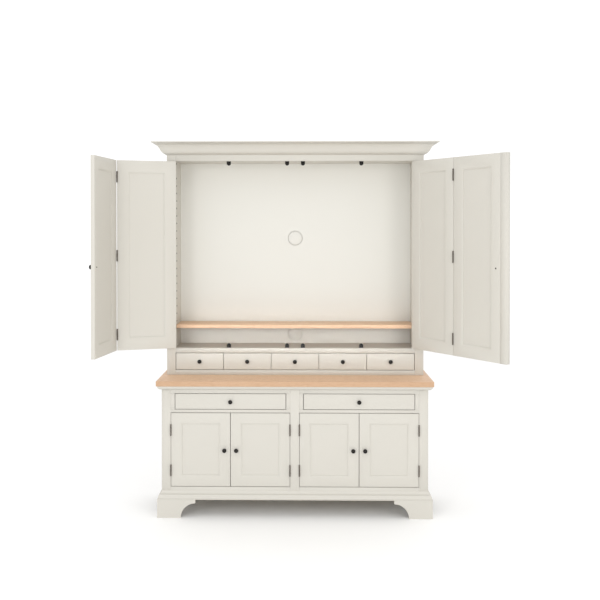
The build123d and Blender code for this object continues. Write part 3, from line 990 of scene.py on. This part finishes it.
@dataclass
class BaseDoors(SubAssembly):
    """Four doors under the wide drawers, each pair meeting in the middle of its opening."""

    z: Span = (0.178, 0.6055)
    frame_width: float = 0.065
    knob_z: float = 0.389
    knob_inset: float = 0.033
    hinge_z: float = 0.271
    hinge_pitch: float = 0.236

    def build(self) -> None:
        """Make the doors, their hinges and their knobs."""
        middle = (CENTRE + OPENING) / 2
        meeting, half_gap, pivot_y = FRONT_GAP / 2, HINGE_GAP / 2, BASE_FRONT - PIVOT_STAND_OFF
        outer = ((-OPENING + HINGE_GAP, -middle - meeting), (-OPENING + half_gap, pivot_y), False)
        inner = ((-middle + meeting, -CENTRE - HINGE_GAP), (CENTRE + half_gap, pivot_y), True)
        for side in Side:
            for place, (x, pivot, opposite) in (("outer", outer), ("inner", inner)):
                name = f"{side.value}_{place}_door"
                mirror = side is Side.RIGHT
                door = PanelDoor(x, self.z, BASE_FRONT, self.frame_width, self.frame_width).shape()
                knob_x = x[1] - self.knob_inset if place == "outer" else x[0] + self.knob_inset
                knob = Knob(knob_x, BASE_FRONT, self.knob_z, BASE_FRONT + FRAME_T).shape()
                self.dress_leaf(door.mirrored(mirror), knob.mirrored(mirror), name)
                hinge = ButtHinge(pivot, self.hinge_z)
                for moving, label, node, body in (
                    (True, "moving", f"{name}_hardware", name),
                    (False, "fixed", "fixed_hinge_halves", "root"),
                ):
                    half = hinge.half(moving).mirrored(mirror != opposite)
                    self.dress_hinges(half, f"{name}_hinge_{label}", 2, self.hinge_pitch, node, body)


@dataclass
class FoldingLeaves(SubAssembly):
    """A pair of tall leaves: one hung on the stile, and one that folds from it."""

    side: Side = Side.LEFT
    hung_open: float = 162.0
    folding_open: float = 97.5
    meeting_strip: bool = False
    width: float = 0.348
    z: Span = (0.9605, 2.0835)
    stile: float = 0.072
    rail: float = 0.075
    hinge_z: float = 1.055
    hinge_pitch: float = 0.465
    hinges: int = 3
    strip: Span = (0.0425, 0.027)
    strip_proud: float = 0.0001
    knob_z: float = 1.467
    knob_inset: float = 0.032

    def placed(self, shape: Shape, folding: bool) -> Shape:
        """Turn a shape made shut to where it rests.

        Args:
            shape: The shape, as on the shut left pair.
            folding: Whether it belongs to the folding leaf.

        Returns:
            The shape.
        """
        if folding:
            shape.turned(math.radians(self.hung_open - self.folding_open), self.fold_pivot)
        shape.turned(math.radians(-self.hung_open), self.stile_pivot)
        return shape.mirrored(self.side is Side.RIGHT)

    @property
    def hung_x(self) -> Span:
        """The hung leaf's width, shut."""
        return (-OPENING + HINGE_GAP, -OPENING + HINGE_GAP + self.width)

    @property
    def folding_x(self) -> Span:
        """The folding leaf's width, shut."""
        return (self.hung_x[1] + HINGE_GAP, self.hung_x[1] + HINGE_GAP + self.width)

    @property
    def stile_pivot(self) -> Span:
        """The pivot line on the stile."""
        return (self.hung_x[0] - HINGE_GAP / 2, UPPER_FRONT - PIVOT_STAND_OFF)

    @property
    def fold_pivot(self) -> Span:
        """The pivot line between the leaves."""
        return (self.hung_x[1] + HINGE_GAP / 2, UPPER_FRONT + FRAME_T + PIVOT_STAND_OFF)

    def build(self) -> None:
        """Make both leaves, their hinges, knob and strip."""
        side = self.side.value
        hung, folding = f"{side}_hung_leaf", f"{side}_folding_leaf"
        inner_face, edge = UPPER_FRONT + FRAME_T, self.folding_x[1]
        knob = Knob(edge - self.knob_inset, UPPER_FRONT, self.knob_z, inner_face).shape()
        turned = self.placed(knob, True)
        for name, x, its_knob in ((hung, self.hung_x, None), (folding, self.folding_x, turned)):
            leaf = PanelDoor(x, self.z, UPPER_FRONT, self.stile, self.rail).shape()
            self.dress_leaf(self.placed(leaf, name == folding), its_knob, name)
        self.hang()
        if self.meeting_strip:
            wide, deep = self.strip
            strip_x = (edge - 2 * ARRIS, edge + wide)
            strip_y = (inner_face - deep, inner_face + self.strip_proud)
            strip = Shape().board(strip_x, strip_y, self.z, FINE_ARRIS, 1)
            made = self.placed(strip, True).object("meeting_strip_joinery")
            self.dress(made, PAINT, "meeting_strip", body=folding)

    def hang(self) -> None:
        """Set the hinges out on both pivot lines."""
        side = self.side.value
        hung, folding = f"{side}_hung_leaf", f"{side}_folding_leaf"
        at_stile = ButtHinge(self.stile_pivot, self.hinge_z)
        at_fold = ButtHinge(self.fold_pivot, self.hinge_z, behind=True)
        halves = (
            (at_stile, True, f"{hung}_hinges", hung),
            (at_fold, False, f"{hung}_hinges", hung),
            (at_fold, True, f"{folding}_hardware", folding),
        )
        for number, (hinge, moving, node, body) in enumerate(halves):
            half = self.placed(hinge.half(moving), body == folding)
            self.dress_hinges(half, f"{body}_hinge_{number}", self.hinges, self.hinge_pitch, node, body)
        fixed = at_stile.half(False).mirrored(self.side is Side.RIGHT)
        label, node = f"{side}_stile_hinge", "fixed_hinge_halves"
        self.dress_hinges(fixed, label, self.hinges, self.hinge_pitch, node, "root")


@dataclass(kw_only=True)
class Drawer(SubAssembly):
    """A drawer: a painted front with a knob, and a bare box behind it."""

    front_x: Span
    front_z: Span
    front: float
    box_x: Span
    box_z: Span
    back: float
    knob_z: float
    wall: float = 0.010
    bottom: float = 0.006
    bottom_rise: float = 0.005

    def build(self) -> None:
        """Make the front, the box and the knob."""
        face = self.front + FRAME_T
        front = Shape().board(self.front_x, (self.front, face), self.front_z, 0.0014, 3)
        self.dress(front.object(f"{self.body}_front"), PAINT, self.body)
        inner = (self.box_x[0] + self.wall, self.box_x[1] - self.wall)
        low = self.box_z[0] + self.bottom_rise
        box = Shape()
        for x in ((self.box_x[0], inner[0]), (inner[1], self.box_x[1])):
            box.board(x, (face, self.back), self.box_z)
        box.board(inner, (self.back - self.wall, self.back), self.box_z)
        box.board(inner, (face, self.back - self.wall), (low, low + self.bottom), 0)
        self.dress(box.object(f"{self.body}_box"), PALE_PINE, self.body)
        knob = Knob(sum(self.front_x) / 2, self.front, self.knob_z).shape()
        self.dress(knob.object(f"{self.body}_turned_knob"), BLACK_METAL, f"{self.body}_knob")


@dataclass
class DrawerRows(SubAssembly):
    """Two wide drawers in the base and five small ones under the upper cabinet's floor."""

    small: int = 5

    def build(self) -> None:
        """Make each drawer on its own body."""
        x, box_x = (0.0525, 0.696), (0.066, 0.6825)
        for side, sign in (("right", 1), ("left", -1)):
            Drawer(
                body=f"wide_drawer_{side}",
                front_x=ordered(sign * x[0], sign * x[1]),
                front_z=(0.629, 0.7175),
                front=BASE_FRONT,
                box_x=ordered(sign * box_x[0], sign * box_x[1]),
                box_z=(0.634, 0.702),
                back=-0.048,
                wall=0.012,
                knob_z=0.672,
            ).build()
        width = (2 * OPENING - (self.small + 1) * FRONT_GAP) / self.small
        pitch = width + FRONT_GAP
        half_box = pitch / 2 - 0.0075
        for number in range(self.small):
            middle = (number - (self.small - 1) / 2) * pitch
            Drawer(
                body=f"small_drawer_{number + 1}",
                front_x=(middle - width / 2, middle + width / 2),
                front_z=(0.827, 0.9255),
                front=UPPER_FRONT,
                box_x=(middle - half_box, middle + half_box),
                box_z=(0.8246, 0.905),
                back=-0.030,
                knob_z=0.87625,
            ).build()


@dataclass
class Fittings(SubAssembly):
    """Magnetic catches, covers over the cable holes, and the pins that hold the shelves."""

    catch_width: float = 0.025
    catch_height: float = 0.0255
    catch_y: Span = (-0.221, -0.205)
    pin_pitch: float = 0.0458

    def build(self) -> None:
        """Make them all."""
        self.catches()
        self.covers()
        self.pins()
        self.sockets()

    def catches(self) -> None:
        """Four on the ceiling and four on the floor, with a screw in each."""
        radius = self.catch_width / 2
        shape, screws = Shape(), Shape()
        for x in (-0.402, 0.048):
            for root, away in ((CEILING, -1), (TV_FLOOR, 1)):
                centre = root + away * (self.catch_height - radius)
                top = arc((x - radius, centre), (x, centre + away * radius), (x + radius, centre), 18)
                outline = [(x - radius, root), *top, (x + radius, root)]
                shape.prism(softened(outline, 0.0005), lambda a, b, d: (a, d, b), self.catch_y)
                head = [(0, 0), (0, 0.0036), (0.0004, 0.0033), (0.0007, 0.0018), (0.0008, 0)]
                screws.lathe(head, (x, self.catch_y[0], centre), 16)
        for made, name in ((shape, "catch_bodies"), (screws, "catch_screws")):
            piece = repeated(made.object(name), 2, (0.354, 0, 0), BLACK_METAL)
            self.dress(piece, BLACK_METAL, "magnetic_catches")

    def covers(self) -> None:
        """A dished cap with a plug behind it over each cable hole."""
        cap = [(-0.007, 0), (-0.007, 0.044), (0, 0.044), (0, 0.0478), (0.0008, 0.048), (0.0015, 0.0474)]
        cap += [(0.0015, 0.0458), (0.0010, 0.0454), (-0.0030, 0.0450), (-0.0030, 0.0432)]
        cap += [(0.0008, 0.0428), (0.0014, 0.0420), (0.0014, 0.0)]
        shape = Shape().lathe(cap, (0, -0.008, 1.015), 64)
        piece = repeated(shape.object("cable_hole_caps"), 2, (0, 0, 0.605), BACK_PAINT)
        self.dress(piece, BACK_PAINT, "cable_covers")

    def pins(self) -> None:
        """Steel pins in pairs, under the oak shelf and the base's shelves."""
        for label, xs, half, y, z, pitch in (
            ("upper", (-PIN_FACE, PIN_FACE), 0.0095, PIN_ROWS[0], 1.070, PIN_ROWS[1] - PIN_ROWS[0]),
            ("base", (-0.757, -0.009, 0.009, 0.757), 0.008, -0.370, 0.3815, 0.300),
        ):
            shape = Shape()
            ease = 0.0005
            for x in xs:
                profile = [(-half, 0), (-half, 0.003), (ease - half, 0.00345)]
                profile += [(half - ease, 0.00345), (half, 0.003), (half, 0)]
                shape.lathe(profile, (x, y, z), 20, "X")
            piece = repeated(shape.object(f"{label}_shelf_pins"), 2, (0, pitch, 0), BRIGHT_STEEL)
            self.dress(piece, BRIGHT_STEEL, "shelf_pins")

    def sockets(self) -> None:
        """A flanged socket in each hole above the pins: black in the front rows as painted shade standing in
        for the shade inside the holes, painted over behind.
        """
        face, flange, bore, depth, step_in = 0.0017, 0.0050, 0.0026, -0.0085, 0.0006
        section = [(0, flange), (face - 0.0003, flange - 0.0001), (face, flange - step_in)]
        section += [(face, bore + 0.0002), (depth, bore), (depth, bore + 0.0008), (0, bore + 0.0008)]
        steps = 12
        angles = [2 * math.pi * step / steps for step in range(steps)]
        turns = [(math.cos(angle), math.sin(angle)) for angle in angles]
        # Painted shade: the front row's black finish stands in for the shade inside the holes.
        for row, y, finish in (("front", PIN_ROWS[0], BLACK_METAL), ("rear", PIN_ROWS[1], PAINT)):
            for label, z, count in (("fixing", 2.076, 1), ("shelf", 1.986, 20)):
                shape = Shape()
                for sign in (-1, 1):
                    flat = [(sign * (PIN_FACE - along), radius) for along, radius in section]
                    shape.run([[(x, y + r * c, z + r * v) for x, r in flat] for c, v in turns], joined=True)
                piece = shape.object(f"{row}_{label}_sockets")
                self.dress(repeated(piece, count, (0, 0, -self.pin_pitch), finish), finish)


@dataclass(frozen=True)
class Softbox:
    """A large soft light with its middle at one place, turned towards another."""

    name: str
    at: Point
    towards: Point
    size: Span
    power: float
    colour: Rgb = (1.0, 1.0, 1.0)
    spread: float = 180.0

    def build(self) -> None:
        """Hang the light."""
        data = bpy.data.lights.new(self.name, "AREA")
        data.shape = "RECTANGLE"
        data.size, data.size_y = self.size
        data.energy = self.power
        data.color = self.colour
        data.spread = math.radians(self.spread)
        lamp = in_scene(self.name, data)
        lamp.location = self.at
        lamp.rotation_euler = (Vector(self.towards) - Vector(self.at)).to_track_quat("-Z", "Y").to_euler()
        LOG.info("%s: light of %.0f W", self.name, self.power)


@dataclass
class Studio:
    """The pale floor, the lights and the camera."""

    floor_shade: float = 0.97
    world_shade: float = 1.08
    eye: Point = (0.0401, -5.343, 1.6782)
    tilt: Span = (89.39, 0.87)
    lens: float = 50.68
    shift: Span = (0.0187, -0.1035)

    def floor(self) -> None:
        """A plain floor with the faintest unevenness."""
        data = bpy.data.meshes.new("studio_floor")
        far = 30.0
        data.from_pydata([(-far, -far, 0), (far, -far, 0), (far, far, 0), (-far, far, 0)], [], [(0, 1, 2, 3)])
        made = in_scene("studio_floor", data)
        material = bpy.data.materials.new("studio_floor")
        material.use_nodes = True
        graph = Graph(material.node_tree)
        place = graph.add("ShaderNodeTexCoord").outputs["Object"]
        noise = graph.add("ShaderNodeTexNoise", {"Vector": place, "Scale": 0.6}).outputs[0]
        shade = self.floor_shade
        colour = graph.mix(noise, (shade, shade, shade, 1), (shade * 0.99, shade * 0.99, shade * 0.985, 1))
        shader = graph.add("ShaderNodeBsdfPrincipled", {"Base Color": colour, "Roughness": 0.9})
        graph.add("ShaderNodeOutputMaterial", {"Surface": shader.outputs[0]})
        data.materials.append(material)

    def world(self) -> None:
        """Even white surroundings."""
        world = bpy.data.worlds.new("white_studio")
        world.use_nodes = True
        graph = Graph(world.node_tree)
        seen = graph.add("ShaderNodeLightPath").outputs["Is Camera Ray"]
        strength = graph.math("ADD", graph.math("MULTIPLY", seen, 1.1 - self.world_shade), self.world_shade)
        sky = graph.add("ShaderNodeBackground", {"Color": (1, 1, 1, 1), "Strength": strength})
        graph.add("ShaderNodeOutputWorld", {"Surface": sky.outputs[0]})
        bpy.context.scene.world = world
        bpy.context.scene.view_settings.view_transform = "Standard"

    def camera(self) -> None:
        """Stand the camera in front, a little above the middle."""
        data = bpy.data.cameras.new("front_camera")
        data.sensor_width = 36.0
        data.lens = self.lens
        data.shift_x, data.shift_y = self.shift
        made = in_scene("front_camera", data)
        made.location = self.eye
        made.rotation_euler = (math.radians(self.tilt[0]), 0, math.radians(self.tilt[1]))
        bpy.context.scene.camera = made

    def build(self) -> None:
        """Set the studio up."""
        self.floor()
        self.world()
        self.camera()
        for light in (
            Softbox("key_softbox", (-1.9, -4.8, 2.35), (0, -0.2, 1.1), (0.9, 0.9), 24.0),
            Softbox("right_fill", (1.9, -3.6, 2.0), (-0.7, -0.1, 1.45), (1.0, 1.0), 12.0, (1.0, 0.95, 0.88)),
            Softbox("low_fill", (0.2, -4.2, 0.55), (0, -0.2, 1.3), (1.6, 0.5), 12.0),
            Softbox("niche_fill", (0.0, -2.6, 1.40), (0, -0.02, 0.985), (1.3, 0.3), 0.25, spread=7.0),
        ):
            light.build()


def worktop_profile() -> list[Span]:
    """The small cove and bead under the worktop, as reach and height."""
    low, top = 0.743, 0.765
    return [(0, top), (0, low), *arc((0.001, low), (0.0173, 0.7497), (0.024, top), 12)]


def plinth_profile() -> list[Span]:
    """The base moulding: a lip, a flat, a round and a cove."""
    waist = (0.0095, 0.136)
    upper = arc((0.019, 0.121), (0.0165, 0.130), waist, 8)
    upper += arc(waist, (0.003, 0.1435), (0.001, 0.155), 8)[1:]
    return [(0, APRON), (0.024, APRON), (0.024, 0.110), (0.019, 0.110), *upper, (0, 0.155)]


def cornice_profile() -> list[Span]:
    """The cornice: a round at the bottom, a deep cove, and a fillet at the top."""
    top, low, turn, tip = 2.2, 2.124, (0.035, 2.153), (0.079, 2.194)
    curve = arc((0, low), (0.022, 2.136), turn, 12) + arc(turn, (0.050, 2.1755), tip, 16)[1:]
    return [(0, top), *curve, (0.082, 2.194), (0.082, top)]


def main() -> None:
    """Build the armoire in order, from the floor up."""
    logging.basicConfig(level=logging.INFO, format="%(name)s %(message)s")
    parts: list = [
        HiddenCarcass(),
        FaceFrames(),
        Plinth(),
        Moulding(node="plinth_moulding", profile=plinth_profile()),
        Moulding(node="worktop_moulding", profile=worktop_profile()),
        Moulding(node="cornice", depth=-UPPER_FRONT, profile=cornice_profile()),
        OakBoards(),
        BaseDoors(),
        DrawerRows(),
        FoldingLeaves(side=Side.LEFT),
        FoldingLeaves(side=Side.RIGHT, hung_open=124.5, folding_open=124.5, meeting_strip=True),
        Fittings(),
        Studio(),
    ]
    for part in parts:
        part.build()


if __name__ == "__main__":
    main()
